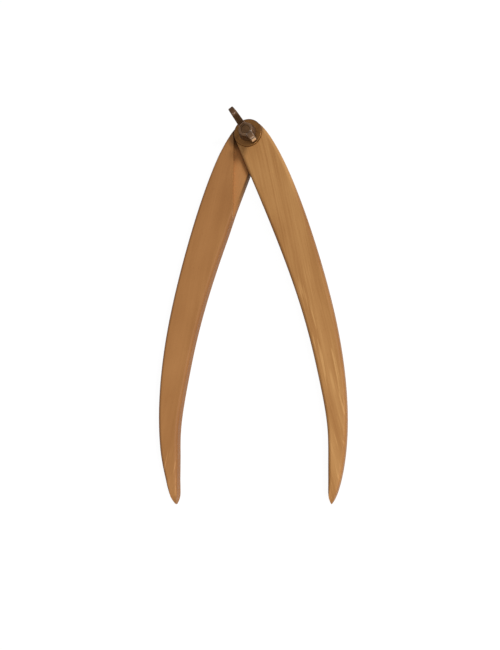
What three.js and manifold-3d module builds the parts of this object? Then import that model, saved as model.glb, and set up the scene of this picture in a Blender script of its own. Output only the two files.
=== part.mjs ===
// A wooden outside calliper: two curved flat legs, half-lapped at the head and clamped by a coach bolt,
// a large washer and a wing nut. Millimetres, +Z up.
// The pivot axis is Z and the crown of the bolt's head touches Z = 0. The legs lie towards -Y, the left
// one at -X, and the washer and nut are on top.

import * as THREE from 'three';
import { mergeVertices } from 'three/addons/utils/BufferGeometryUtils.js';
import Module from 'manifold-3d';

// Legs. A leg is drawn in its closed place: down is measured from the pivot along the closing line,
// where the two legs meet, and out is measured from that line. The toe is the place on the inner edge,
// toeLength above the end of the tip, from which that edge bends away from the line.
const legReach = 335.5;
const legThickness = 12;
const headRadius = 13.3;
const bellyOut = 38.8;
const bellyDown = 177;
const hollowOut = 13.9;
const hollowDown = 217;
const toeOut = 1.3;
const toeLength = 11.5;
const cheekLength = 46;
const tipRadius = 1.5;
const closedTipGap = 0.6;
const edgeRounding = 1;

// Directions of the leg's edges, from the closing line.
const shoulderAngle = THREE.MathUtils.degToRad(52);
const cheekAngle = THREE.MathUtils.degToRad(10);
const toeAngle = THREE.MathUtils.degToRad(12);
const tipOuterAngle = THREE.MathUtils.degToRad(42);
const tipInnerAngle = THREE.MathUtils.degToRad(4);
const restAngle = THREE.MathUtils.degToRad(11.5);

// How far each curve runs on along its end directions, as shares of the stretch that it covers.
const outerUpperShares = [0.15, 0.34];
const outerLowerShares = [0.63, 0.09];
const innerUpperShares = [0.46, 0.29];
const innerLowerShares = [0.59, 0.46];
const toeShares = [0.3, 0.3];

// Half-lap: what lies beside the mating head keeps the clearance, and the two tongues keep the play.
const lapClearance = 0.3;
const lapPlay = 0.1;

// Coach bolt. Its square neck ends short of the lap, and its shank short of the nut's top.
const boltRadius = 4;
const boltHeadRadius = 10;
const boltHeadHeight = 4.6;
const boltHeadRim = 1;
const boltCrownRadius = 3.2;
const boltEndChamfer = 0.8;
const neckCover = 1;
const boltSetback = 0.5;
const holeClearance = 0.3;

// Washer.
const washerRadius = 13;
const washerThickness = 2;
const washerRounding = 0.6;

// Wing nut. Its wings get thinner from the hub to their ends.
const nutHeight = 25;
const hubHeight = 8.5;
const hubBaseWall = 4;
const hubTopWall = 2.4;
const hubRim = 1.2;
const hubChamfer = 0.5;
const wingSpan = 38.5;
const wingRootThickness = 6;
const wingEndThickness = 4.6;
const wingTipRadius = 4.8;
const wingFoot = 1.2;
const wingRounding = 1.2;
const nutAngle = THREE.MathUtils.degToRad(119.3);

// Overrun of every cut, and how finely curves are divided.
const cutOverrun = 5;
const legCurveSteps = 16;
const legRoundingSteps = 3;
const roundSteps = 40;
const washerSteps = 56;
const arcSteps = 6;
const wingCurveSteps = 8;
const wingRoundingSteps = 2;

const legBase = boltHeadHeight;
const legTop = legBase + legThickness;
const tongueThickness = (legThickness - lapPlay) / 2;
const neckHeight = tongueThickness - neckCover;
const neckWidth = 2 * boltRadius;
const boreRadius = boltRadius + holeClearance;
const washerTop = legTop + washerThickness;
const boltTop = washerTop + hubHeight - boltSetback;
const hubBaseRadius = boltRadius + hubBaseWall;
const hubTopRadius = boltRadius + hubTopWall;

const wasm = await Module();
wasm.setup();

function toSolid(geometry) {
  const bare = geometry.clone();
  bare.deleteAttribute('normal');
  bare.deleteAttribute('uv');
  const merged = mergeVertices(bare);
  return new wasm.Manifold(new wasm.Mesh({
    numProp: 3,
    vertProperties: new Float32Array(merged.attributes.position.array),
    triVerts: new Uint32Array(merged.index.array),
  }));
}

function toGeometry(solid) {
  const { vertProperties, triVerts } = solid.getMesh();
  const geometry = new THREE.BufferGeometry();
  geometry.setAttribute('position', new THREE.BufferAttribute(vertProperties, 3));
  geometry.setIndex(new THREE.BufferAttribute(triVerts, 1));
  geometry.computeVertexNormals();
  return geometry;
}

// A profile of (radius, height) points, turned about Z.
function turned(profile, steps) {
  return new THREE.LatheGeometry(profile, steps).rotateX(Math.PI / 2);
}

function cylinder(radius, bottom, top) {
  const geometry = new THREE.CylinderGeometry(radius, radius, top - bottom, roundSteps);
  return geometry.rotateX(Math.PI / 2).translate(0, 0, (bottom + top) / 2);
}

function squareBar(width, bottom, top) {
  return new THREE.BoxGeometry(width, width, top - bottom).translate(0, 0, (bottom + top) / 2);
}

// The point of a circle at an angle, and the direction of travel there, counter-clockwise.
function onCircle(centre, radius, angle) {
  return new THREE.Vector2(Math.cos(angle), Math.sin(angle)).multiplyScalar(radius).add(centre);
}

function travel(angle) {
  return new THREE.Vector2(-Math.sin(angle), Math.cos(angle));
}

// Draws on from start to end. Each end has its direction of travel, as the angle round a circle, and the
// length for which the curve keeps to it.
function curveTo(shape, start, startAngle, startLength, end, endAngle, endLength) {
  const first = travel(startAngle).multiplyScalar(startLength).add(start);
  const second = travel(endAngle).multiplyScalar(-endLength).add(end);
  shape.bezierCurveTo(first.x, first.y, second.x, second.y, end.x, end.y);
}

// The outline of the right leg in its closed place, counter-clockwise: down the inner edge, round the
// tip, up the outer edge and over the head.
function legOutline() {
  const downwards = Math.PI;
  const upwards = 0;
  const headInner = Math.PI + cheekAngle;
  const headOuter = shoulderAngle;
  const toeInner = Math.PI - toeAngle;
  const tipInner = Math.PI + tipInnerAngle;
  const tipOuter = -tipOuterAngle;
  const pivot = new THREE.Vector2(0, 0);
  const tipCentre = new THREE.Vector2(closedTipGap / 2 + tipRadius, tipRadius - legReach);

  const cheekStart = onCircle(pivot, headRadius, headInner);
  const cheekEnd = travel(headInner).multiplyScalar(cheekLength).add(cheekStart);
  const hollow = new THREE.Vector2(hollowOut, -hollowDown);
  const toe = new THREE.Vector2(toeOut, toeLength - legReach);
  const belly = new THREE.Vector2(bellyOut, -bellyDown);
  const innerUpper = hollowDown - cheekLength;
  const innerLower = legReach - toeLength - hollowDown;
  const outerLower = legReach - bellyDown;

  const shape = new THREE.Shape();
  shape.moveTo(cheekStart.x, cheekStart.y);
  shape.lineTo(cheekEnd.x, cheekEnd.y);
  curveTo(shape, cheekEnd, headInner, innerUpperShares[0] * innerUpper,
    hollow, downwards, innerUpperShares[1] * innerUpper);
  curveTo(shape, hollow, downwards, innerLowerShares[0] * innerLower,
    toe, toeInner, innerLowerShares[1] * innerLower);
  curveTo(shape, toe, toeInner, toeShares[0] * toeLength,
    onCircle(tipCentre, tipRadius, tipInner), tipInner, toeShares[1] * toeLength);
  shape.absarc(tipCentre.x, tipCentre.y, tipRadius, tipInner, tipOuter, false);
  curveTo(shape, onCircle(tipCentre, tipRadius, tipOuter), tipOuter, outerLowerShares[1] * outerLower,
    belly, upwards, outerLowerShares[0] * outerLower);
  curveTo(shape, belly, upwards, outerUpperShares[1] * bellyDown,
    onCircle(pivot, headRadius, headOuter), headOuter, outerUpperShares[0] * bellyDown);
  shape.absarc(pivot.x, pivot.y, headRadius, headOuter, headInner, false);
  return shape;
}

// One leg, its back face on the bolt's head. side is 1 for the right leg and -1 for the left.
// lapBottom and lapTop bound the layer that is cut away to let the other leg's tongue in.
function legSolid(side, lapBottom, lapTop) {
  const outline = legOutline();
  const blank = new THREE.ExtrudeGeometry(outline, {
    depth: legThickness - 2 * edgeRounding,
    curveSegments: legCurveSteps,
    bevelEnabled: true,
    bevelSize: edgeRounding,
    bevelThickness: edgeRounding,
    bevelOffset: -edgeRounding,
    bevelSegments: legRoundingSteps,
  });
  blank.translate(0, 0, legBase + edgeRounding);

  // The lap's shoulder is a straight cut beside the mating leg's cheek as the two lie when closed.
  const shoulderDistance = headRadius + lapClearance;
  const cutLength = 2 * (shoulderDistance + cheekLength + cutOverrun + headRadius);
  const recess = new THREE.BoxGeometry(cutLength, 2 * cutLength, lapTop - lapBottom);
  recess.translate(shoulderDistance - cutLength / 2, 0, (lapBottom + lapTop) / 2);
  recess.rotateZ(-cheekAngle);

  let solid = toSolid(blank).subtract(toSolid(recess));
  solid = solid.subtract(toSolid(cylinder(boreRadius, legBase - cutOverrun, legTop + cutOverrun)));
  return side > 0 ? solid : solid.mirror([1, 0, 0]);
}

function leftLeg(material) {
  const lapFloor = legBase + tongueThickness;
  const pocketTop = legBase + neckHeight + holeClearance;
  const pocket = squareBar(neckWidth + 2 * holeClearance, legBase - cutOverrun, pocketTop);
  const solid = legSolid(-1, lapFloor, legTop + cutOverrun).subtract(toSolid(pocket));
  const mesh = new THREE.Mesh(toGeometry(solid), material);
  mesh.name = 'left_leg';
  mesh.rotation.z = -restAngle;
  return mesh;
}

function rightLeg(material) {
  const lapCeiling = legTop - tongueThickness;
  const solid = legSolid(1, legBase - cutOverrun, lapCeiling);
  const mesh = new THREE.Mesh(toGeometry(solid), material);
  mesh.name = 'right_leg';
  mesh.rotation.z = restAngle;
  return mesh;
}

function pivotBolt(material) {
  const profile = new THREE.Path();
  profile.moveTo(0, 0);
  profile.lineTo(boltCrownRadius, 0);
  profile.quadraticCurveTo(boltHeadRadius, 0, boltHeadRadius, boltHeadHeight - boltHeadRim);
  profile.lineTo(boltHeadRadius, boltHeadHeight);
  profile.lineTo(boltRadius, boltHeadHeight);
  profile.lineTo(boltRadius, boltTop - boltEndChamfer);
  profile.lineTo(boltRadius - boltEndChamfer, boltTop);
  profile.lineTo(0, boltTop);
  const shaft = turned(profile.getPoints(arcSteps), roundSteps);
  const neck = squareBar(neckWidth, boltHeadHeight - boltHeadRim, boltHeadHeight + neckHeight);
  neck.rotateZ(-restAngle);
  const mesh = new THREE.Mesh(toGeometry(toSolid(shaft).add(toSolid(neck))), material);
  mesh.name = 'pivot_bolt';
  return mesh;
}

function washer(material) {
  const profile = new THREE.Path();
  profile.moveTo(boreRadius, 0);
  profile.lineTo(washerRadius - washerRounding, 0);
  profile.quadraticCurveTo(washerRadius, 0, washerRadius, washerRounding);
  profile.lineTo(washerRadius, washerThickness - washerRounding);
  profile.quadraticCurveTo(washerRadius, washerThickness, washerRadius - washerRounding, washerThickness);
  profile.lineTo(boreRadius, washerThickness);
  profile.lineTo(boreRadius, 0);
  const mesh = new THREE.Mesh(turned(profile.getPoints(arcSteps / 2), washerSteps), material);
  mesh.name = 'washer';
  mesh.position.z = legTop;
  return mesh;
}

// Where the line from a point touches a circle, as an angle round the circle. turn picks the side.
function touchAngle(point, centre, radius, turn) {
  const towards = point.clone().sub(centre);
  return Math.atan2(towards.y, towards.x) + turn * Math.acos(radius / towards.length());
}

// A wing seen from the side: a rounded ear that leans out from the hub. x is the radius.
function wingBlank() {
  const root = (boreRadius + hubTopRadius) / 2;
  const foot = new THREE.Vector2(hubBaseRadius - hubChamfer, wingFoot);
  const saddle = new THREE.Vector2(hubTopRadius, hubHeight);
  const tip = new THREE.Vector2(wingSpan / 2 - wingTipRadius, nutHeight - wingTipRadius);
  const shape = new THREE.Shape();
  shape.moveTo(root, wingFoot);
  shape.lineTo(foot.x, foot.y);
  shape.absarc(tip.x, tip.y, wingTipRadius, touchAngle(foot, tip, wingTipRadius, 1),
    touchAngle(saddle, tip, wingTipRadius, -1) + 2 * Math.PI, false);
  shape.lineTo(saddle.x, saddle.y);
  shape.lineTo(root, hubHeight - hubRim);
  const blank = new THREE.ExtrudeGeometry(shape, {
    depth: wingRootThickness - 2 * wingRounding,
    curveSegments: wingCurveSteps,
    bevelEnabled: true,
    bevelSize: wingRounding,
    bevelThickness: wingRounding,
    bevelOffset: -wingRounding,
    bevelSegments: wingRoundingSteps,
  });
  blank.translate(0, 0, wingRounding - wingRootThickness / 2);

  const points = blank.attributes.position;
  for (let index = 0; index < points.count; index += 1) {
    const outwards = (points.getX(index) - root) / (wingSpan / 2 - root);
    const thinning = THREE.MathUtils.lerp(1, wingEndThickness / wingRootThickness, outwards);
    points.setZ(index, points.getZ(index) * thinning);
  }
  return blank.rotateX(Math.PI / 2);
}

function wingNut(material) {
  const profile = new THREE.Path();
  profile.moveTo(boreRadius, 0);
  profile.lineTo(hubBaseRadius - hubChamfer, 0);
  profile.lineTo(hubBaseRadius, hubChamfer);
  profile.lineTo(hubBaseRadius, hubRim);
  profile.quadraticCurveTo(hubTopRadius, hubHeight / 2, hubTopRadius, hubHeight - hubChamfer);
  profile.lineTo(hubTopRadius - hubChamfer, hubHeight);
  profile.lineTo(boreRadius, hubHeight);
  profile.lineTo(boreRadius, 0);
  let solid = toSolid(turned(profile.getPoints(arcSteps), roundSteps));
  for (const turn of [0, Math.PI]) {
    solid = solid.add(toSolid(wingBlank().rotateZ(turn)));
  }
  const mesh = new THREE.Mesh(toGeometry(solid), material);
  mesh.name = 'wing_nut';
  mesh.position.z = washerTop;
  mesh.rotation.z = nutAngle;
  return mesh;
}

const leftWood = new THREE.MeshStandardMaterial({ color: 0xa57248, roughness: 0.55, metalness: 0 });
const rightWood = new THREE.MeshStandardMaterial({ color: 0xb48252, roughness: 0.55, metalness: 0 });
const bronze = new THREE.MeshStandardMaterial({ color: 0x6f573c, roughness: 0.35, metalness: 0.9 });

const calliper = new THREE.Group();
calliper.add(leftLeg(leftWood), rightLeg(rightWood), pivotBolt(bronze), washer(bronze), wingNut(bronze));

export default calliper;
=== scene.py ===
# Looks of the wooden outside calliper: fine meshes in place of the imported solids, oiled wood and
# darkened brass. Metres, in the frame of the CAD part: the pivot axis is Z, the legs lie towards -Y, the
# left one at -X, and the washer and nut are on top.

import math

import bmesh
import bpy
from mathutils import Matrix, Vector


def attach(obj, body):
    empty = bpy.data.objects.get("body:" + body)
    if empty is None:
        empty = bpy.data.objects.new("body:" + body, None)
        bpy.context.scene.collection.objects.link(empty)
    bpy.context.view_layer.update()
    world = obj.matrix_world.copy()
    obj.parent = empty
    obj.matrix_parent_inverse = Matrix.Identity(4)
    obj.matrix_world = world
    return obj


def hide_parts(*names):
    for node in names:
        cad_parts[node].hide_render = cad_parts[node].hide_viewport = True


# Legs, as in the CAD part. A leg is drawn in its closed place: down is measured from the pivot along the
# closing line, where the two legs meet, and out is measured from that line. The toe is the place on the
# inner edge, TOE_LENGTH above the end of the tip, from which that edge bends away from the line. Here the
# edges are rounded more fully than the CAD's, and the tip is finer, so the rounding grows from there. The
# left leg is a little wider away from its head and tip, because the photo shows it so.
LEG_REACH = 0.3355
LEG_THICKNESS = 0.012
HEAD_RADIUS = 0.0133
BELLY_OUT = 0.0388
BELLY_DOWN = 0.177
HOLLOW_OUT = 0.0139
HOLLOW_DOWN = 0.217
TOE_OUT = 0.0013
TOE_LENGTH = 0.0115
CHEEK_LENGTH = 0.046
TIP_RADIUS = 0.0015
CLOSED_TIP_GAP = 0.0006
EDGE_ROUNDING = 0.003
BACK_ROUNDING_SHARE = 0.4
LEFT_LEG_GROWTH = 0.0006
GROWTH_RUN = 0.02
INNER_GROWTH_FROM = 0.074
FINE_TIP_RADIUS = 0.0004
FINE_TIP_ROUNDING = 0.0003
ROUNDING_GROWTH = 0.15
NOSE_LENGTH = 0.012
SHOULDER_ANGLE = math.radians(52)
CHEEK_ANGLE = math.radians(10)
TOE_ANGLE = math.radians(12)
TIP_OUTER_ANGLE = math.radians(42)
TIP_INNER_ANGLE = math.radians(4)
REST_ANGLE = math.radians(11.5)
OUTER_UPPER_SHARES = (0.15, 0.34)
OUTER_LOWER_SHARES = (0.63, 0.09)
INNER_UPPER_SHARES = (0.46, 0.29)
INNER_LOWER_SHARES = (0.59, 0.46)
TOE_SHARES = (0.3, 0.3)
LAP_CLEARANCE = 0.0003
LAP_PLAY = 0.0001
ARRIS = 0.00025

# Coach bolt, M8.
BOLT_RADIUS = 0.004
BOLT_HEAD_RADIUS = 0.010
BOLT_HEAD_HEIGHT = 0.0046
BOLT_HEAD_RIM = 0.001
BOLT_CROWN_RADIUS = 0.0032
BOLT_END_CHAMFER = 0.0003
NECK_COVER = 0.001
NECK_ARRIS = 0.0004
BOLT_SETBACK = 0.0002
HOLE_CLEARANCE = 0.0003
THREAD_PITCH = 0.00125
THREAD_DEPTH = 0.00077

# Washer. Its upper edge is rolled over, as a stamped washer's is.
WASHER_RADIUS = 0.013
WASHER_THICKNESS = 0.002
WASHER_ROUNDING = 0.0006
WASHER_ROLL = 0.0012
WASHER_ARRIS = 0.0002

# Wing nut.
NUT_HEIGHT = 0.025
HUB_HEIGHT = 0.0085
HUB_BASE_WALL = 0.004
HUB_TOP_WALL = 0.0024
HUB_RIM = 0.0012
WING_SPAN = 0.0385
WING_ROOT_THICKNESS = 0.0075
WING_END_THICKNESS = 0.0048
WING_TAPER = 1.6
WING_TIP_RADIUS = 0.0048
WING_FOOT = 0.0012
WING_ROUNDING = 0.0008
NUT_CLEARANCE = 0.00005
NUT_ANGLE = math.radians(124)
NUT_VOXEL = 0.0003
NUT_SMOOTHING = 0.5
NUT_SMOOTHINGS = 14

# How far cuts run past what they cut, how near points are joined, and how finely curves are divided.
CUT_OVERRUN = 0.005
MERGE_DISTANCE = 1e-7
CURVE_STEPS = 96
TOE_STEPS = 16
HEAD_STEPS = 72
TIP_STEPS = 28
NOSE_STEPS = 24
ROUNDING_STEPS = 8
ROUND_STEPS = 96
PROFILE_STEPS = 12
THREAD_STEPS = 64
THREAD_ROWS = 12
ARRIS_SEGMENTS = 2
ARRIS_FROM = math.radians(40)
SMOOTH_BELOW = math.radians(32)

LEG_BASE = BOLT_HEAD_HEIGHT
LEG_TOP = LEG_BASE + LEG_THICKNESS
TONGUE_THICKNESS = (LEG_THICKNESS - LAP_PLAY) / 2
NECK_HEIGHT = TONGUE_THICKNESS - NECK_COVER
BORE_RADIUS = BOLT_RADIUS + HOLE_CLEARANCE
WASHER_TOP = LEG_TOP + WASHER_THICKNESS
BOLT_TOP = WASHER_TOP + HUB_HEIGHT - BOLT_SETBACK
HUB_BASE_RADIUS = BOLT_RADIUS + HUB_BASE_WALL
HUB_TOP_RADIUS = BOLT_RADIUS + HUB_TOP_WALL

# Camera: where it looks, how far off it stands, the angles it looks from and the height that it shows.
CAMERA_TARGET = Vector((0.0004, -0.1761, LEG_TOP))
CAMERA_DISTANCE = 0.8
CAMERA_YAW = math.radians(13.0)
CAMERA_PITCH = math.radians(9.3)
CAMERA_ROLL = math.radians(-0.45)
VIEW_HEIGHT = 0.5684
SENSOR = 36

# Light: a soft lamp from the upper right, a somewhat weaker panel at the lower right, and a pale room all
# round. Where the floor is seen directly, that share of it glows white, and the rest takes light and shadow.
KEY_AZIMUTH = math.radians(20)
KEY_ELEVATION = math.radians(50)
KEY_WIDTH = math.radians(14)
KEY_STRENGTH = 1.95
PANEL_PLACE = Vector((0.53, -0.79, 0.76))
PANEL_AIM = Vector((0, -0.18, LEG_TOP))
PANEL_SIZE = 0.28
PANEL_STRENGTH = 5.6
ROOM_STRENGTH = 0.24
FLOOR_SIZE = 12
MOTTLE_GRAINS = (6, 6, 6)
MOTTLE_SEED = 2.0
MOTTLE_TONES = ((0.0, (0.86, 0.86, 0.86)), (1.0, (0.9, 0.9, 0.9)))
FLOOR_GLOW = 1.05
FLOOR_GLOW_SHARE = 0.92

# Noises in the wood: grains per metre across the leg, along it and through it, a step that is added to the
# leg's seed so that no two are alike, and how much detail they have.
GRAIN = {"sway": ((10, 9, 10), 0, 1.0), "bands": ((200, 4.5, 90), 3, 2.0),
         "streaks": ((800, 16, 420), 7, 3.0), "clouds": ((36, 15, 36), 13, 2.0),
         "fibres": ((3200, 80, 3200), 11, 2.0), "flecks": ((1500, 190, 1500), 17, 2.0),
         "lines": ((700, 24, 700), 23, 1.0)}

# How far the grain sways, the levels of noise between which flecks and pale lines come up, and the wood's
# relief and roughness, which follow its fibres, flecks and streaks.
SWAY_REACH = 0.004
FLECK_LEVELS = (0.62, 0.74)
LINE_LEVELS = (0.58, 0.68)
GRAIN_RELIEF = 0.00012
GRAIN_BUMP = 0.25
FLECK_RELIEF_SHARE = -0.6
STREAK_LEVELS = (0.3, 0.7)
WOOD_ROUGHNESS = (0.52, 0.62)
WOOD_SPECULAR = 0.2

# How far fibres, flecks, pale lines, the painted shade on rounded sides and the faces that the saw left at
# the lap move the wood's tone. The sides' painted shade is reached down the leg. At the head it is turned
# round, to that share, into painted light.
FIBRE_WEIGHT = 0.1
FLECK_WEIGHT = -0.1
LINE_WEIGHT = 0.6
SIDE_SHADE_WEIGHT = -0.36
SIDE_DOWN = (0.03, 0.09)
SIDE_HEAD_LIGHT_SHARE = -0.6
SAWN_WEIGHT = 0.2

# Painted shadow on the wood. Sawn wood is darkened under the front leg as it stands at rest, and just
# beside it, where the front leg's shadow falls. The edge of the left leg's tongue is darkened as painted
# shadow of the front leg, over a width on its sawn floor and from a share of the head's radius on its
# side, and less down the leg.
LAP_SHADOW_WEIGHT = -0.5
LAP_SHADOW_WIDTH = 0.0065
TONGUE_SHADOW_DOWN = (0.045, 0.07)
TONGUE_SHADOW_WIDTH = 0.0022
TONGUE_SHADOW_SIDE_SHARE = 0.7

# Tones of a leg from dark to light, the weights of its bands, streaks and clouds, how much paler it gets
# down its length, which is painted light and shade, where pale lines show in its grain, and the share of
# its colour that the painted shadow on the tongue's edge takes. The painted shadow round the washer lies
# on one side, full to one distance from the pivot and gone at the next.
LEFT_WOOD = {"seed": 1.0,
             "tones": ((0.2, (0.25, 0.1, 0.029)), (0.5, (0.352, 0.155, 0.047)),
                       (0.8, (0.455, 0.217, 0.076))),
             "bands": 0.2, "streaks": 0.12, "clouds": 0.5, "paler_down": 0.17, "lines": (0.29, 0.34),
             "tongue_shadow": 0.7,
             "washer_shadow": {"depth": 0.6, "angle": math.radians(150), "full": 0.0165, "end": 0.021}}
RIGHT_WOOD = {"seed": 2.0,
              "tones": ((0.2, (0.28, 0.117, 0.031)), (0.5, (0.395, 0.186, 0.057)),
                        (0.8, (0.51, 0.267, 0.094))),
              "bands": 0.6, "streaks": 0.42, "clouds": 0.5, "paler_down": -0.03, "lines": (0.12, 0.36),
              "tongue_shadow": 0.0,
              "washer_shadow": {"depth": 0.55, "angle": math.radians(80), "full": 0.0135, "end": 0.0155}}

# Skins of the brass, with their tones from dark to light.
WASHER_SKIN = {"seed": 7.0, "tones": ((0.3, (0.085, 0.034, 0.009)), (0.7, (0.2, 0.092, 0.026))),
               "metallic": 1.0, "roughness": 0.42, "wax": 0.1, "rim_weight": -0.9}
NUT_SKIN = {"seed": 11.0, "tones": ((0.3, (0.07, 0.032, 0.012)), (0.7, (0.128, 0.065, 0.026))),
            "metallic": 0.7, "roughness": 0.45, "wax": 0.22, "wing_light_and_shade": True}
BOLT_SKIN = {"seed": 3.0, "tones": ((0.3, (0.062, 0.028, 0.009)), (0.7, (0.12, 0.058, 0.02))),
             "metallic": 0.8, "roughness": 0.45, "wax": 0.1}

# Patches and specks in the brass, per metre, and their shares of its tone. How deep its skin is pitted, how
# its edges are rubbed paler, and how its roughness falls as its tone rises.
PATCH_GRAINS = (190, 190, 190)
SPECK_GRAINS = (1500, 1500, 1500)
PATCH_SHARE = 0.75
SPECK_SHARE = 0.25
PATCH_DETAIL = 3.0
SPECK_STEP = 5
PITTING = 0.00006
PITTING_BUMP = 0.2
BEND_LEVELS = (0.995, 0.9)
RUBBED_WIDTH = 0.0006
RUBBED_WEIGHT = 0.3
GLOSS_LEVELS = (0.35, 0.65)
GLOSS_SPREAD = 0.06
WAX_ROUGHNESS = 0.11

# Painted reflections, highlights and shade on the brass. The washer's rim is painted darker away from the
# tips, as a dark reflection. The nut's wings carry a painted highlight where they face outwards far from
# the axis, and the lower one painted glints along its edges in patches. The upper one is painted darker
# towards its end, as a dark reflection, and its wax coat thins to none there. Reaches are distances from
# the axis, and the last two are measured along the wing.
RIM_ANGLE = math.radians(100)
RIM_FADE = 0.006
HIGHLIGHT_BRASS = (0.9, 0.6, 0.34)
HIGHLIGHT_FACING = (0.78, 1.0)
HIGHLIGHT_REACH = (0.0155, 0.0172)
GLINT_REACH = (0.001, 0.004)
GLINT_LEVELS = (0.4, 0.6)
GLINT_SHARE = 0.8
WING_SHADE_REACH = (0.009, 0.014)
WING_SHADE_WEIGHT = -0.45


def on_circle(centre, radius, angle):
    return centre + radius * Vector((math.cos(angle), math.sin(angle)))


def travel(angle):
    return Vector((-math.sin(angle), math.cos(angle)))


def curve(start, start_angle, start_length, end, end_angle, end_length, steps=CURVE_STEPS):
    """Points from start up to end, which is left out. The angles are directions of travel round a circle."""
    first = start + start_length * travel(start_angle)
    second = end - end_length * travel(end_angle)
    points = []
    for step in range(steps):
        t = step / steps
        s = 1 - t
        points.append(s**3 * start + 3 * s**2 * t * first + 3 * s * t**2 * second + t**3 * end)
    return points


def arc(centre, radius, start, end, steps):
    """Points round a circle from start up to end, which is left out."""
    return [on_circle(centre, radius, start + (end - start) * step / steps) for step in range(steps)]


def tip_centre():
    return Vector((CLOSED_TIP_GAP / 2 + TIP_RADIUS, TIP_RADIUS - LEG_REACH))


def fine_tip_centre():
    """The centre of the finer tip that fits between the same two edges, nearer to where they would meet."""
    half_angle = (TIP_OUTER_ANGLE + TIP_INNER_ANGLE) / 2
    towards_apex = 1.5 * math.pi + TIP_INNER_ANGLE - half_angle
    return on_circle(tip_centre(), (TIP_RADIUS - FINE_TIP_RADIUS) / math.sin(half_angle), towards_apex)


def fine_tip_end():
    return fine_tip_centre().y - FINE_TIP_RADIUS


def leg_outline():
    """The right leg in its closed place, counter-clockwise: inner edge, tip, outer edge and head."""
    head_inner = math.pi + CHEEK_ANGLE
    toe_inner = math.pi - TOE_ANGLE
    tip_inner = math.pi + TIP_INNER_ANGLE
    pivot = Vector((0, 0))
    tip = tip_centre()
    cheek_start = on_circle(pivot, HEAD_RADIUS, head_inner)
    cheek_end = cheek_start + CHEEK_LENGTH * travel(head_inner)
    hollow = Vector((HOLLOW_OUT, -HOLLOW_DOWN))
    toe = Vector((TOE_OUT, TOE_LENGTH - LEG_REACH))
    belly = Vector((BELLY_OUT, -BELLY_DOWN))
    tip_start = on_circle(tip, TIP_RADIUS, tip_inner)
    tip_end = on_circle(tip, TIP_RADIUS, -TIP_OUTER_ANGLE)
    head_outer = on_circle(pivot, HEAD_RADIUS, SHOULDER_ANGLE)
    inner_upper = HOLLOW_DOWN - CHEEK_LENGTH
    inner_lower = LEG_REACH - TOE_LENGTH - HOLLOW_DOWN
    outer_lower = LEG_REACH - BELLY_DOWN

    points = [cheek_start]
    points += curve(cheek_end, head_inner, INNER_UPPER_SHARES[0] * inner_upper,
                    hollow, math.pi, INNER_UPPER_SHARES[1] * inner_upper)
    points += curve(hollow, math.pi, INNER_LOWER_SHARES[0] * inner_lower,
                    toe, toe_inner, INNER_LOWER_SHARES[1] * inner_lower)
    points += curve(toe, toe_inner, TOE_SHARES[0] * TOE_LENGTH,
                    tip_start, tip_inner, TOE_SHARES[1] * TOE_LENGTH, TOE_STEPS)
    fine_tip = fine_tip_centre()
    points.append(tip_start)
    points += arc(fine_tip, FINE_TIP_RADIUS, tip_inner, 2 * math.pi - TIP_OUTER_ANGLE, TIP_STEPS)
    points.append(on_circle(fine_tip, FINE_TIP_RADIUS, -TIP_OUTER_ANGLE))
    points += curve(tip_end, -TIP_OUTER_ANGLE, OUTER_LOWER_SHARES[1] * outer_lower,
                    belly, 0, OUTER_LOWER_SHARES[0] * outer_lower)
    points += curve(belly, 0, OUTER_UPPER_SHARES[1] * BELLY_DOWN,
                    head_outer, SHOULDER_ANGLE, OUTER_UPPER_SHARES[0] * BELLY_DOWN)
    points += arc(pivot, HEAD_RADIUS, SHOULDER_ANGLE, head_inner, HEAD_STEPS)
    return points


def outward(points):
    """The outward direction at each point of a counter-clockwise outline."""
    directions = []
    for index, point in enumerate(points):
        before = (point - points[index - 1]).normalized()
        after = (points[(index + 1) % len(points)] - point).normalized()
        along = (before + after).normalized()
        directions.append(Vector((along.y, -along.x)))
    return directions


def slab(points, base, top, rounding, base_share=1.0):
    """A plate of that outline whose edges are rounded, at the top by a radius that rounding(point) gives
    and at the base by that share of it."""
    directions = outward(points)
    turns = [math.pi / 2 * step / ROUNDING_STEPS for step in range(ROUNDING_STEPS + 1)]
    levels = [(1 - math.sin(turn), 1 - math.cos(turn)) for turn in turns]
    bm = bmesh.new()
    rings = []
    for inset, rise in levels:
        rings.append([bm.verts.new((*(p - inset * base_share * rounding(p) * d),
                                    base + rise * base_share * rounding(p)))
                      for p, d in zip(points, directions)])
    for inset, rise in reversed(levels):
        rings.append([bm.verts.new((*(p - inset * rounding(p) * d), top - rise * rounding(p)))
                      for p, d in zip(points, directions)])
    join_rings(bm, rings)
    bm.faces.new(reversed(rings[0]))
    bm.faces.new(rings[-1])
    return bm


def join_rings(bm, rings):
    """Faces between each ring of points and the next."""
    for lower, upper in zip(rings, rings[1:]):
        for index in range(len(lower)):
            following = (index + 1) % len(lower)
            bm.faces.new((lower[index], lower[following], upper[following], upper[index]))


def turned(profile):
    """A profile of (radius, height) points, from the axis out and back to it, turned about Z."""
    bm = bmesh.new()
    angles = [2 * math.pi * step / ROUND_STEPS for step in range(ROUND_STEPS)]
    rings = []
    for radius, height in profile:
        rings.append([bm.verts.new((radius * math.cos(a), radius * math.sin(a), height)) for a in angles])
    join_rings(bm, rings)
    merge_points(bm)
    return bm


def merge_points(bm):
    """Joins points that coincide and turns every face outwards."""
    bmesh.ops.remove_doubles(bm, verts=bm.verts, dist=MERGE_DISTANCE)
    bmesh.ops.recalc_face_normals(bm, faces=bm.faces)


def bow(start, handle, end):
    """Points of a quadratic curve, both ends included."""
    points = []
    for step in range(PROFILE_STEPS + 1):
        t = step / PROFILE_STEPS
        points.append(tuple((1 - t)**2 * a + 2 * (1 - t) * t * h + t**2 * b
                            for a, h, b in zip(start, handle, end)))
    return points


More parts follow.
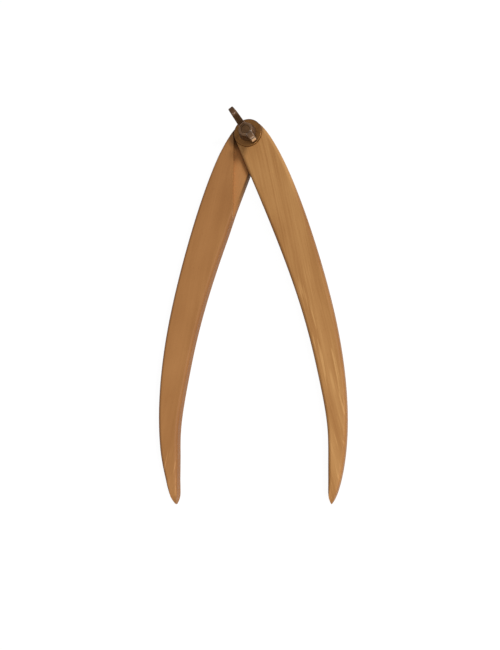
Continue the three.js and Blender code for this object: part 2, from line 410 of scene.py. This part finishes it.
def block(low, high):
    """A box between two corners."""
    bm = bmesh.new()
    bmesh.ops.create_cube(bm, size=1)
    for vertex in bm.verts:
        vertex.co = Vector([(l + h) / 2 + (h - l) * c for l, h, c in zip(low, high, vertex.co)])
    return bm


def thing(name, bm):
    """A new object from a bmesh, which is freed."""
    mesh = bpy.data.meshes.new(name)
    bm.to_mesh(mesh)
    bm.free()
    obj = bpy.data.objects.new(name, mesh)
    bpy.context.scene.collection.objects.link(obj)
    return obj


def settle(obj):
    """Carries out the object's modifiers on its mesh."""
    bpy.context.view_layer.update()
    mesh = bpy.data.meshes.new_from_object(obj.evaluated_get(bpy.context.evaluated_depsgraph_get()))
    obj.modifiers.clear()
    obj.data = mesh


def combine(obj, tool, operation):
    """A boolean of the object with a bmesh."""
    other = thing("tool", tool)
    modifier = obj.modifiers.new("combine", "BOOLEAN")
    modifier.operation = operation
    modifier.solver = "EXACT"
    modifier.object = other
    settle(obj)
    bpy.data.objects.remove(other)


def soften(obj, width):
    """Takes the sharpness off the sharp edges."""
    bevel = obj.modifiers.new("arris", "BEVEL")
    bevel.width = width
    bevel.segments = ARRIS_SEGMENTS
    bevel.limit_method = "ANGLE"
    bevel.angle_limit = ARRIS_FROM
    bevel.use_clamp_overlap = True
    settle(obj)


def shade(obj):
    """Smooth shading that leaves flat faces flat."""
    obj.data.shade_smooth()
    obj.data.set_sharp_from_angle(angle=SMOOTH_BELOW)
    weigh = obj.modifiers.new("flat faces", "WEIGHTED_NORMAL")
    weigh.keep_sharp = True


def nose_blank():
    """What a leg is cut to, seen from its edge: a bar that narrows to a rounded nose at the tip's end."""
    middle = LEG_BASE + LEG_THICKNESS / 2
    end = fine_tip_end()
    upper = []
    for step in range(NOSE_STEPS + 1):
        turn = math.pi / 2 * step / NOSE_STEPS
        upper.append((end + NOSE_LENGTH * (1 - math.cos(turn)), LEG_THICKNESS / 2 * math.sin(turn)))
    upper.append((end + NOSE_LENGTH + LEG_THICKNESS, LEG_THICKNESS))
    upper.append((LEG_REACH, LEG_THICKNESS))
    profile = [(down, middle + half) for down, half in upper]
    profile += [(down, middle - half) for down, half in reversed(upper[1:])]
    bm = bmesh.new()
    sides = [[bm.verts.new((side, down, height)) for down, height in profile]
             for side in (-LEG_REACH, LEG_REACH)]
    join_rings(bm, sides)
    bm.faces.new(reversed(sides[0]))
    bm.faces.new(sides[1])
    bmesh.ops.recalc_face_normals(bm, faces=bm.faces)
    return bm


def grown(points):
    """The outline of the left leg, whose outer edge is wider below its head and inner edge below the lap."""
    wider = []
    for point, direction in zip(points, outward(points)):
        start = HEAD_RADIUS if direction.x > 0 else INNER_GROWTH_FROM
        from_head = min(max((point.length - start) / GROWTH_RUN, 0), 1)
        from_tip = min(max((point.y + LEG_REACH) / GROWTH_RUN - 1, 0), 1)
        wider.append(point + LEFT_LEG_GROWTH * from_head * from_tip * direction)
    return wider


def leg_rounding(point):
    return min(EDGE_ROUNDING, FINE_TIP_ROUNDING + ROUNDING_GROWTH * max(point.y + LEG_REACH, 0))


def mark_cuts(obj, level, shoulder):
    """Marks the faces that the saw left at the lap, which are one flat at that level and the wall at the
    shoulder, and the sides of the tongue between them."""
    sawn = obj.data.attributes.new("sawn", "FLOAT", "FACE").data
    tongue_side = obj.data.attributes.new("tongue_side", "FLOAT", "FACE").data
    straight = Matrix.Rotation(CHEEK_ANGLE, 3, "Z")
    for face in obj.data.polygons:
        out = (straight @ face.center).x
        on_side = abs(face.normal.z) < math.cos(ARRIS_FROM)
        on_flat = abs(face.center.z - level) < MERGE_DISTANCE
        on_wall = abs(out - shoulder) < MERGE_DISTANCE
        sawn[face.index].value = 1.0 if on_flat or on_wall else 0.0
        tongue_side[face.index].value = 1.0 if on_side and out < shoulder and not on_wall else 0.0


def leg(name, side):
    """side is 1 for the right leg, which lies in front at the lap, and -1 for the left."""
    points = leg_outline() if side > 0 else grown(leg_outline())
    obj = thing(name, slab(points, LEG_BASE, LEG_TOP, leg_rounding, BACK_ROUNDING_SHARE))
    combine(obj, nose_blank(), "INTERSECT")
    lap_ceiling = LEG_TOP - TONGUE_THICKNESS
    lap_floor = LEG_BASE + TONGUE_THICKNESS
    cut_bottom = LEG_BASE - CUT_OVERRUN if side > 0 else lap_floor
    cut_top = lap_ceiling if side > 0 else LEG_TOP + CUT_OVERRUN
    shoulder = HEAD_RADIUS + LAP_CLEARANCE
    reach = 2 * (shoulder + CHEEK_LENGTH)
    recess = block((shoulder - reach, -reach, cut_bottom), (shoulder, reach, cut_top))
    bmesh.ops.rotate(recess, matrix=Matrix.Rotation(-CHEEK_ANGLE, 3, "Z"), verts=recess.verts)
    combine(obj, recess, "DIFFERENCE")
    bore = [(0, LEG_BASE - CUT_OVERRUN), (BORE_RADIUS, LEG_BASE - CUT_OVERRUN),
            (BORE_RADIUS, LEG_TOP + CUT_OVERRUN), (0, LEG_TOP + CUT_OVERRUN)]
    combine(obj, turned(bore), "DIFFERENCE")
    if side < 0:
        half = BORE_RADIUS
        pocket_top = LEG_BASE + NECK_HEIGHT + HOLE_CLEARANCE
        combine(obj, block((-half, -half, LEG_BASE - CUT_OVERRUN), (half, half, pocket_top)), "DIFFERENCE")
    soften(obj, ARRIS)
    mark_cuts(obj, lap_ceiling if side > 0 else lap_floor, shoulder)
    place = Matrix.Rotation(side * REST_ANGLE, 4, "Z") @ Matrix.Diagonal((side, 1, 1, 1))
    obj.data.transform(place)
    if side < 0:
        obj.data.flip_normals()
    shade(obj)
    return obj


def thread_radius(phase, depth):
    """Radius of a 60-degree thread at a share of its pitch, with its crest at the bolt's own radius."""
    crest_share = 1 / 8
    flank_share = 5 / 8
    fall = (abs(2 * phase - 1) - crest_share) / flank_share
    return BOLT_RADIUS - depth * min(max(fall, 0), 1)


def threaded_shank(bottom, top):
    """A right-handed thread that runs out just short of the chamfer at the top."""
    turns = (top - bottom) / THREAD_PITCH
    bm = bmesh.new()
    rings = []
    for row in range(math.ceil((turns + 2) * THREAD_ROWS)):
        ring = []
        for step in range(THREAD_STEPS + 1):
            angle = 2 * math.pi * step / THREAD_STEPS
            height = bottom + (row / THREAD_ROWS + step / THREAD_STEPS - 1) * THREAD_PITCH
            height = min(max(height, bottom), top)
            depth = THREAD_DEPTH * min(max((top - BOLT_END_CHAMFER - height) / THREAD_PITCH, 0), 1)
            chamfered = BOLT_RADIUS - BOLT_END_CHAMFER + top - height
            radius = min(thread_radius(row / THREAD_ROWS % 1, depth), chamfered)
            ring.append(bm.verts.new((radius * math.cos(angle), radius * math.sin(angle), height)))
        rings.append(ring)
    for lower, upper in zip(rings, rings[1:]):
        for index in range(THREAD_STEPS):
            bm.faces.new((lower[index], lower[index + 1], upper[index + 1], upper[index]))
    bmesh.ops.remove_doubles(bm, verts=bm.verts, dist=MERGE_DISTANCE)
    rim = [edge for edge in bm.edges if edge.is_boundary]
    bmesh.ops.holes_fill(bm, edges=rim, sides=0)
    bmesh.ops.recalc_face_normals(bm, faces=bm.faces)
    return bm


def coach_bolt():
    rim_bottom = BOLT_HEAD_HEIGHT - BOLT_HEAD_RIM
    profile = [(0, 0)]
    profile += bow((BOLT_CROWN_RADIUS, 0), (BOLT_HEAD_RADIUS, 0), (BOLT_HEAD_RADIUS, rim_bottom))
    profile += [(BOLT_HEAD_RADIUS, BOLT_HEAD_HEIGHT), (0, BOLT_HEAD_HEIGHT)]
    obj = thing("coach_bolt", turned(profile))
    neck = block((-BOLT_RADIUS, -BOLT_RADIUS, rim_bottom),
                 (BOLT_RADIUS, BOLT_RADIUS, BOLT_HEAD_HEIGHT + NECK_HEIGHT))
    bmesh.ops.rotate(neck, matrix=Matrix.Rotation(-REST_ANGLE, 3, "Z"), verts=neck.verts)
    combine(obj, neck, "UNION")
    soften(obj, NECK_ARRIS)
    combine(obj, threaded_shank(BOLT_HEAD_HEIGHT + NECK_HEIGHT - BOLT_HEAD_RIM, BOLT_TOP), "UNION")
    shade(obj)
    return obj


def flat_washer():
    outer = WASHER_RADIUS
    inner = BORE_RADIUS
    profile = bow((outer - WASHER_ROUNDING, 0), (outer, 0), (outer, WASHER_ROUNDING))
    profile += bow((outer, WASHER_THICKNESS - WASHER_ROLL), (outer, WASHER_THICKNESS),
                   (outer - WASHER_ROLL, WASHER_THICKNESS))
    profile += bow((inner + WASHER_ARRIS, WASHER_THICKNESS), (inner, WASHER_THICKNESS),
                   (inner, WASHER_THICKNESS - WASHER_ARRIS))
    profile += bow((inner, WASHER_ARRIS), (inner, 0), (inner + WASHER_ARRIS, 0))
    profile.append(profile[0])
    bm = turned(profile)
    bmesh.ops.translate(bm, vec=(0, 0, LEG_TOP), verts=bm.verts)
    obj = thing("flat_washer", bm)
    shade(obj)
    return obj


def touch_angle(point, centre, radius, turn):
    """Where the line from a point touches a circle, as an angle round the circle."""
    towards = point - centre
    return math.atan2(towards.y, towards.x) + turn * math.acos(radius / towards.length)


def wing():
    """One wing, seen from the side: a rounded ear that leans out from the hub and thins towards its end."""
    root = HUB_TOP_RADIUS / 2
    foot = Vector((HUB_BASE_RADIUS - HUB_RIM, WING_FOOT))
    saddle = Vector((HUB_TOP_RADIUS, HUB_HEIGHT))
    tip = Vector((WING_SPAN / 2 - WING_TIP_RADIUS, NUT_HEIGHT - WING_TIP_RADIUS))
    start = touch_angle(foot, tip, WING_TIP_RADIUS, 1)
    end = touch_angle(saddle, tip, WING_TIP_RADIUS, -1) + 2 * math.pi
    points = [Vector((root, WING_FOOT)), foot]
    points += arc(tip, WING_TIP_RADIUS, start, end, TIP_STEPS)
    points += [on_circle(tip, WING_TIP_RADIUS, end), saddle, Vector((root, HUB_HEIGHT - HUB_RIM))]
    bm = slab(points, -WING_ROOT_THICKNESS / 2, WING_ROOT_THICKNESS / 2, lambda point: WING_ROUNDING)
    end_share = WING_END_THICKNESS / WING_ROOT_THICKNESS
    for vertex in bm.verts:
        inwards = min(1 - (vertex.co.x - root) / (WING_SPAN / 2 - root), 1)
        vertex.co.z *= end_share + (1 - end_share) * max(inwards, 0)**WING_TAPER
    bmesh.ops.rotate(bm, matrix=Matrix.Rotation(math.pi / 2, 3, "X"), verts=bm.verts)
    return bm


def cast_wing_nut():
    """Hub and wings run into each other, as in a casting, and the bore is cut afterwards."""
    profile = [(0, 0), (HUB_BASE_RADIUS, 0)]
    profile += bow((HUB_BASE_RADIUS, HUB_RIM), (HUB_TOP_RADIUS, HUB_HEIGHT / 2),
                   (HUB_TOP_RADIUS, HUB_HEIGHT - HUB_RIM))
    profile += bow((HUB_TOP_RADIUS, HUB_HEIGHT - HUB_RIM), (HUB_TOP_RADIUS, HUB_HEIGHT),
                   (HUB_TOP_RADIUS - HUB_RIM, HUB_HEIGHT))
    profile += [(0, HUB_HEIGHT)]
    obj = thing("cast_wing_nut", turned(profile))
    for turn in (0, math.pi):
        ear = wing()
        bmesh.ops.rotate(ear, matrix=Matrix.Rotation(turn, 3, "Z"), verts=ear.verts)
        combine(obj, ear, "UNION")
    remesh = obj.modifiers.new("cast", "REMESH")
    remesh.mode = "VOXEL"
    remesh.voxel_size = NUT_VOXEL
    smooth = obj.modifiers.new("fillets", "SMOOTH")
    smooth.factor = NUT_SMOOTHING
    smooth.iterations = NUT_SMOOTHINGS
    settle(obj)
    radius = BOLT_RADIUS + NUT_CLEARANCE
    bore = [(0, -CUT_OVERRUN), (radius, -CUT_OVERRUN), (radius, NUT_HEIGHT), (0, NUT_HEIGHT)]
    combine(obj, turned(bore), "DIFFERENCE")
    obj.data.transform(Matrix.Translation((0, 0, WASHER_TOP)) @ Matrix.Rotation(NUT_ANGLE, 4, "Z"))
    obj.data.shade_smooth()
    obj.data.set_sharp_from_angle(angle=SMOOTH_BELOW)
    return obj


class Nodes:
    """A material's node tree, with a short way to add a node and set or link its inputs."""

    def __init__(self, material):
        material.use_nodes = True
        self.tree = material.node_tree
        self.tree.nodes.clear()

    def add(self, kind, inputs, **settings):
        made = self.tree.nodes.new("ShaderNode" + kind)
        for name, value in settings.items():
            setattr(made, name, value)
        for name, value in inputs.items():
            if isinstance(value, bpy.types.NodeSocket):
                self.tree.links.new(value, made.inputs[name])
            else:
                made.inputs[name].default_value = value
        return made

    def maths(self, operation, *values):
        return self.add("Math", dict(enumerate(values)), operation=operation).outputs[0]

    def stretched(self, place, scale, seed, detail=2.0):
        """Noise from 0 to 1 whose grains are drawn out, with scale as grains per metre along each axis."""
        spot = self.add("Mapping", {"Vector": place, "Location": (seed, seed, seed), "Scale": scale})
        return self.add("TexNoise", {"Vector": spot.outputs[0], "Scale": 1.0, "Detail": detail}).outputs[0]

    def ramp(self, value, stops):
        """Colours along a value, as (place, colour) pairs."""
        made = self.add("ValToRGB", {"Fac": value})
        made.color_ramp.interpolation = "B_SPLINE"
        for index, (place, colour) in enumerate(stops):
            if index < 2:
                stop = made.color_ramp.elements[index]
                stop.position = place
            else:
                stop = made.color_ramp.elements.new(place)
            stop.color = (*colour, 1)
        return made.outputs[0]

    def clamped(self, value, low, high, bottom=0.0, top=1.0):
        made = self.add("MapRange", {"Value": value, "From Min": low, "From Max": high,
                                     "To Min": bottom, "To Max": top})
        return made.outputs[0]

    def edges(self, width):
        """1 where the surface bends sharply within that width, and 0 where it is flat."""
        bent = self.add("Bevel", {"Radius": width}).outputs[0]
        true = self.add("NewGeometry", {}).outputs["True Normal"]
        match = self.add("VectorMath", {0: bent, 1: true}, operation="DOT_PRODUCT").outputs["Value"]
        return self.clamped(match, *BEND_LEVELS)

    def sideways(self):
        """0 on faces square to Z and 1 on those along it."""
        normal = self.add("TexCoord", {}).outputs["Normal"]
        return self.length(self.product(normal, (1, 1, 0)))

    def product(self, vector, other):
        return self.add("VectorMath", {0: vector, 1: other}, operation="MULTIPLY").outputs[0]

    def length(self, vector):
        return self.add("VectorMath", {0: vector}, operation="LENGTH").outputs["Value"]

    def reach(self, place, angle):
        """How far a place lies from the pivot's axis in the direction of that angle."""
        direction = (math.cos(angle), math.sin(angle), 0)
        return self.add("VectorMath", {0: place, 1: direction}, operation="DOT_PRODUCT").outputs["Value"]

    def marked(self, name):
        """1 on the faces that were marked with that name."""
        return self.add("Attribute", {}, attribute_name=name).outputs["Fac"]

    def surface(self, shader):
        self.add("OutputMaterial", {"Surface": shader})


def grain_noises(nodes, along, seed):
    """The noises of a leg's grain by name, which all sway together but for the clouds."""
    def noise(name, place):
        scale, step, detail = GRAIN[name]
        return nodes.stretched(place, scale, seed + step, detail)

    sway = nodes.clamped(noise("sway", along), 0, 1, -SWAY_REACH, SWAY_REACH)
    shift = nodes.add("CombineXYZ", {"X": sway}).outputs[0]
    grain = nodes.add("VectorMath", {0: along, 1: shift}, operation="ADD").outputs[0]
    noises = {name: noise(name, grain) for name in ("bands", "streaks", "fibres")}
    noises["clouds"] = noise("clouds", along)
    noises["flecks"] = nodes.clamped(noise("flecks", grain), *FLECK_LEVELS)
    noises["lines"] = nodes.clamped(noise("lines", grain), *LINE_LEVELS)
    return noises


def pale_lines(nodes, noise, down, lines):
    """Pale lines between two distances down the leg, and none on its sides."""
    fade = (lines[1] - lines[0]) / 3
    shown = nodes.maths("MULTIPLY", noise, nodes.clamped(down, lines[0], lines[0] + fade))
    shown = nodes.maths("MULTIPLY", shown, nodes.clamped(down, lines[1], lines[1] - fade))
    return nodes.maths("MULTIPLY", shown, nodes.maths("SUBTRACT", 1.0, nodes.sideways()))


def side_shade_and_light(nodes, sawn, down):
    # Painted shade on the rounded sides down the leg, which turns to painted light at the head.
    side = nodes.maths("MULTIPLY", nodes.sideways(), nodes.maths("SUBTRACT", 1.0, sawn))
    return nodes.maths("MULTIPLY", side, nodes.clamped(down, *SIDE_DOWN, SIDE_HEAD_LIGHT_SHARE, 1))


def lap_shadow(nodes, place, sawn):
    """Painted shadow on the sawn wood under the front leg as it stands at rest, and just beside it."""
    across_lap = nodes.reach(place, math.pi + CHEEK_ANGLE + REST_ANGLE)
    return nodes.maths("MULTIPLY", sawn, nodes.clamped(across_lap, HEAD_RADIUS + LAP_SHADOW_WIDTH, HEAD_RADIUS))


def kept_by_tongue_shadow(nodes, place, sawn, down, depth):
    """The share of its colour that the left tongue's edge keeps under the front leg's painted shadow."""
    inwards = nodes.reach(place, -(CHEEK_ANGLE + REST_ANGLE))
    near_edge = nodes.clamped(inwards, HEAD_RADIUS - TONGUE_SHADOW_WIDTH, HEAD_RADIUS - TONGUE_SHADOW_WIDTH / 2)
    on_side = nodes.clamped(inwards, TONGUE_SHADOW_SIDE_SHARE * HEAD_RADIUS, HEAD_RADIUS)
    tongue_shaded = nodes.maths("MAXIMUM", nodes.maths("MULTIPLY", sawn, near_edge),
                        nodes.maths("MULTIPLY", nodes.marked("tongue_side"), on_side))
    tongue_shaded = nodes.maths("MULTIPLY", tongue_shaded, nodes.clamped(down, *reversed(TONGUE_SHADOW_DOWN)))
    return nodes.clamped(tongue_shaded, 0, 1, 1, 1 - depth)


def kept_by_washer_shadow(nodes, place, washer_shadow):
    """The share of its colour that the wood beside the washer keeps under the painted shadow of washer and
    nut.
    """
    from_pivot = nodes.length(nodes.product(place, (1, 1, 0)))
    washer_shaded = nodes.maths("MULTIPLY", nodes.clamped(from_pivot, washer_shadow["end"], washer_shadow["full"]),
                          nodes.clamped(nodes.reach(place, washer_shadow["angle"]), 0, washer_shadow["full"] / 2))
    return nodes.clamped(washer_shaded, 0, 1, 1, 1 - washer_shadow["depth"])


def wood(name, angle, seed, tones, bands, streaks, clouds, paler_down, lines, tongue_shadow, washer_shadow):
    """Oiled hardwood whose grain runs along a leg that is turned by that angle."""
    material = bpy.data.materials.new(name)
    nodes = Nodes(material)
    place = nodes.add("TexCoord", {}).outputs["Object"]
    along = nodes.add("Mapping", {"Vector": place, "Rotation": (0, 0, -angle)}).outputs[0]
    down = nodes.maths("MULTIPLY", nodes.add("SeparateXYZ", {"Vector": along}).outputs["Y"], -1.0)
    noises = grain_noises(nodes, along, seed)
    sawn = nodes.marked("sawn")

    # Painted light and shade: the tone changes evenly down the leg, as light that falls off along it.
    tone = nodes.clamped(down, 0, LEG_REACH, (1 - paler_down) / 2, (1 + paler_down) / 2)
    for noise, weight in (("bands", bands), ("streaks", streaks), ("clouds", clouds),
                          ("fibres", FIBRE_WEIGHT)):
        tone = nodes.maths("MULTIPLY_ADD", nodes.maths("SUBTRACT", noises[noise], 0.5), weight, tone)
    for mark, weight in ((noises["flecks"], FLECK_WEIGHT),
                         (pale_lines(nodes, noises["lines"], down, lines), LINE_WEIGHT),
                         (side_shade_and_light(nodes, sawn, down), SIDE_SHADE_WEIGHT), (sawn, SAWN_WEIGHT),
                         (lap_shadow(nodes, place, sawn), LAP_SHADOW_WEIGHT)):
        tone = nodes.maths("MULTIPLY_ADD", mark, weight, tone)
    # Painted shadow of the washer and nut on the wood round the washer.
    kept = kept_by_washer_shadow(nodes, place, washer_shadow)
    # Painted shadow of the front leg on the left tongue's edge.
    if tongue_shadow:
        kept = nodes.maths("MULTIPLY", kept, kept_by_tongue_shadow(nodes, place, sawn, down, tongue_shadow))
    colour = nodes.ramp(tone, tones)
    colour = nodes.add("VectorMath", {0: colour, "Scale": kept}, operation="SCALE").outputs[0]

    height = nodes.maths("MULTIPLY_ADD", noises["flecks"], FLECK_RELIEF_SHARE, noises["fibres"])
    bump = nodes.add("Bump", {"Height": height, "Strength": GRAIN_BUMP, "Distance": GRAIN_RELIEF})
    roughness = nodes.clamped(noises["streaks"], *STREAK_LEVELS, *WOOD_ROUGHNESS)
    shader = nodes.add("BsdfPrincipled", {"Base Color": colour, "Roughness": roughness,
                                          "Specular IOR Level": WOOD_SPECULAR, "Normal": bump.outputs[0]})
    nodes.surface(shader.outputs[0])
    return material


def painted_wing_highlights(nodes, place, patches, edges):
    """How far a highlight and glints are painted on the nut's wings, from 0 to 1."""
    outwards = nodes.add("VectorMath", {0: nodes.product(place, (1, 1, 0))}, operation="NORMALIZE").outputs[0]
    facing = nodes.add("VectorMath", {0: nodes.add("TexCoord", {}).outputs["Normal"], 1: outwards},
                       operation="DOT_PRODUCT").outputs["Value"]
    from_axis = nodes.length(nodes.product(place, (1, 1, 0)))
    ends = nodes.maths("MULTIPLY", nodes.clamped(facing, *HIGHLIGHT_FACING), nodes.clamped(from_axis, *HIGHLIGHT_REACH))
    # Painted glints along the lower wing's edges, broken into patches.
    glint_side = nodes.clamped(nodes.reach(place, NUT_ANGLE + math.pi), *GLINT_REACH)
    bright = nodes.maths("MULTIPLY", nodes.maths("MULTIPLY", edges, glint_side),
                         nodes.clamped(patches, *GLINT_LEVELS, 0, GLINT_SHARE))
    return nodes.maths("MAXIMUM", ends, bright)


def darkened_brass(name, seed, tones, metallic, roughness, wax, rim_weight=0.0, wing_light_and_shade=False):
    """Brass under a dark brown skin that is uneven, rubbed paler along its edges and lightly waxed. A
    weight for the rim shifts its tone away from the tips as a painted reflection, dark for the washer's, and
    a flag for the nut paints a highlight, glints and a dark reflection on its wings."""
    material = bpy.data.materials.new(name)
    nodes = Nodes(material)
    place = nodes.add("TexCoord", {}).outputs["Object"]
    patches = nodes.stretched(place, PATCH_GRAINS, seed, PATCH_DETAIL)
    specks = nodes.stretched(place, SPECK_GRAINS, seed + SPECK_STEP)
    edges = nodes.edges(RUBBED_WIDTH)
    tone = nodes.maths("MULTIPLY_ADD", specks, SPECK_SHARE, nodes.maths("MULTIPLY", patches, PATCH_SHARE))
    tone = nodes.maths("MULTIPLY_ADD", nodes.maths("MULTIPLY", edges, patches), RUBBED_WEIGHT, tone)
    coat = wax
    if rim_weight:
        # Painted dark reflection on the rim away from the tips.
        far_side = nodes.clamped(nodes.reach(place, RIM_ANGLE), -RIM_FADE, RIM_FADE)
        rim = nodes.maths("MULTIPLY", nodes.sideways(), far_side)
        tone = nodes.maths("MULTIPLY_ADD", rim, rim_weight, tone)
    if wing_light_and_shade:
        # Painted dark reflection towards the upper wing's end, where its wax coat also thins to none.
        wing_shaded = nodes.clamped(nodes.reach(place, NUT_ANGLE), *WING_SHADE_REACH)
        tone = nodes.maths("MULTIPLY_ADD", wing_shaded, WING_SHADE_WEIGHT, tone)
        coat = nodes.clamped(wing_shaded, 0, 1, wax, 0)
    colour = nodes.ramp(tone, tones)
    # Painted highlights and glints on the nut's wings.
    if wing_light_and_shade:
        colour = nodes.add("MixRGB", {"Fac": painted_wing_highlights(nodes, place, patches, edges), "Color1": colour,
                                      "Color2": (*HIGHLIGHT_BRASS, 1)}).outputs[0]

    gloss = nodes.clamped(tone, *GLOSS_LEVELS, roughness + GLOSS_SPREAD, roughness - GLOSS_SPREAD)
    bump = nodes.add("Bump", {"Height": specks, "Strength": PITTING_BUMP, "Distance": PITTING})
    shader = nodes.add("BsdfPrincipled", {"Base Color": colour, "Metallic": metallic, "Roughness": gloss,
                                          "Coat Weight": coat, "Coat Roughness": WAX_ROUGHNESS,
                                          "Normal": bump.outputs[0]})
    nodes.surface(shader.outputs[0])
    return material


def seen_directly(nodes):
    """1 for rays from the camera, a reflection or glass, and 0 for rays that light the object."""
    rays = nodes.add("LightPath", {})
    direct = nodes.maths("MAXIMUM", rays.outputs["Is Camera Ray"], rays.outputs["Is Glossy Ray"])
    return nodes.maths("MAXIMUM", direct, rays.outputs["Is Transmission Ray"])


def floor_material():
    """White, and close to white in shadow too where it is seen directly."""
    material = bpy.data.materials.new("pale_floor")
    nodes = Nodes(material)
    place = nodes.add("TexCoord", {}).outputs["Object"]
    colour = nodes.ramp(nodes.stretched(place, MOTTLE_GRAINS, MOTTLE_SEED), MOTTLE_TONES)
    matt = nodes.add("BsdfDiffuse", {"Color": colour})
    glow = nodes.add("Emission", {"Color": (1, 1, 1, 1), "Strength": FLOOR_GLOW})
    share = nodes.maths("MULTIPLY", seen_directly(nodes), FLOOR_GLOW_SHARE)
    mixed = nodes.add("MixShader", {0: share, 1: matt.outputs[0], 2: glow.outputs[0]})
    nodes.surface(mixed.outputs[0])
    return material


def dress(obj, body, node, material):
    """The piece rides on a body, stands for a CAD node and takes a slot's finish."""
    obj.data.materials.clear()
    obj.data.materials.append(material)
    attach(obj, body)
    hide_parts(node)


def add_camera():
    turn = (Matrix.Rotation(CAMERA_YAW, 3, "Y") @ Matrix.Rotation(CAMERA_PITCH, 3, "X")
            @ Matrix.Rotation(CAMERA_ROLL, 3, "Z"))
    data = bpy.data.cameras.new("camera")
    data.sensor_width = SENSOR
    data.lens = SENSOR * CAMERA_DISTANCE / VIEW_HEIGHT
    camera = bpy.data.objects.new("camera", data)
    bpy.context.scene.collection.objects.link(camera)
    place = CAMERA_TARGET + turn @ Vector((0, 0, CAMERA_DISTANCE))
    camera.matrix_world = Matrix.Translation(place) @ turn.to_4x4()
    bpy.context.scene.camera = camera


def add_key_light():
    data = bpy.data.lights.new("key", "SUN")
    data.energy = KEY_STRENGTH
    data.angle = KEY_WIDTH
    lamp = bpy.data.objects.new("key", data)
    bpy.context.scene.collection.objects.link(lamp)
    from_lamp = Vector((math.cos(KEY_ELEVATION) * math.cos(KEY_AZIMUTH),
                        math.cos(KEY_ELEVATION) * math.sin(KEY_AZIMUTH), math.sin(KEY_ELEVATION)))
    lamp.rotation_mode = "QUATERNION"
    lamp.rotation_quaternion = from_lamp.to_track_quat("Z", "Y")


def add_panel():
    data = bpy.data.lights.new("panel", "AREA")
    data.energy = PANEL_STRENGTH
    data.size = PANEL_SIZE
    panel = bpy.data.objects.new("panel", data)
    bpy.context.scene.collection.objects.link(panel)
    panel.location = PANEL_PLACE
    panel.rotation_mode = "QUATERNION"
    panel.rotation_quaternion = (PANEL_PLACE - PANEL_AIM).to_track_quat("Z", "Y")


def add_room():
    world = bpy.data.worlds.new("room")
    bpy.context.scene.world = world
    nodes = Nodes(world)
    lighting = nodes.add("Background", {"Color": (1, 1, 1, 1), "Strength": ROOM_STRENGTH})
    seen = nodes.add("Background", {"Color": (1, 1, 1, 1), "Strength": 1.0})
    mixed = nodes.add("MixShader", {0: seen_directly(nodes), 1: lighting.outputs[0], 2: seen.outputs[0]})
    nodes.add("OutputWorld", {"Surface": mixed.outputs[0]})


def add_floor():
    """The flat calliper rests on the bolt's head and the two tips, so the floor touches these."""
    tip_down = LEG_REACH * math.cos(REST_ANGLE)
    slope = math.atan(LEG_BASE / tip_down)
    drop = BOLT_CROWN_RADIUS * math.tan(slope)
    bm = bmesh.new()
    bmesh.ops.create_grid(bm, x_segments=2, y_segments=2, size=FLOOR_SIZE / 2)
    bmesh.ops.rotate(bm, matrix=Matrix.Rotation(-slope, 3, "X"), verts=bm.verts)
    bmesh.ops.translate(bm, vec=(0, 0, -drop), verts=bm.verts)
    floor = thing("floor", bm)
    floor.data.materials.append(floor_material())


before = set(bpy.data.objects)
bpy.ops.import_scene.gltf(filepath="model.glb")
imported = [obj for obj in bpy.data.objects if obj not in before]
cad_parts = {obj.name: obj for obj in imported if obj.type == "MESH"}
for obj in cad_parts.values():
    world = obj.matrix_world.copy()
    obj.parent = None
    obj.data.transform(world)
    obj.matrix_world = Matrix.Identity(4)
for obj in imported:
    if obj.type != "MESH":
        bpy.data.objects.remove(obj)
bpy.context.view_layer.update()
bpy.context.scene.view_settings.view_transform = "Standard"
add_camera()
add_key_light()
add_panel()
add_room()
add_floor()

dress(leg("left_leg_fine", -1), "back_leg", "left_leg",
      wood("left_leg_wood", -REST_ANGLE, **LEFT_WOOD))
dress(leg("right_leg_fine", 1), "front_leg", "right_leg",
      wood("right_leg_wood", REST_ANGLE, **RIGHT_WOOD))
dress(coach_bolt(), "back_leg", "pivot_bolt", darkened_brass("bolt_brass", **BOLT_SKIN))
dress(flat_washer(), "washer", "washer", darkened_brass("washer_brass", **WASHER_SKIN))
dress(cast_wing_nut(), "wing_nut", "wing_nut", darkened_brass("nut_brass", **NUT_SKIN))
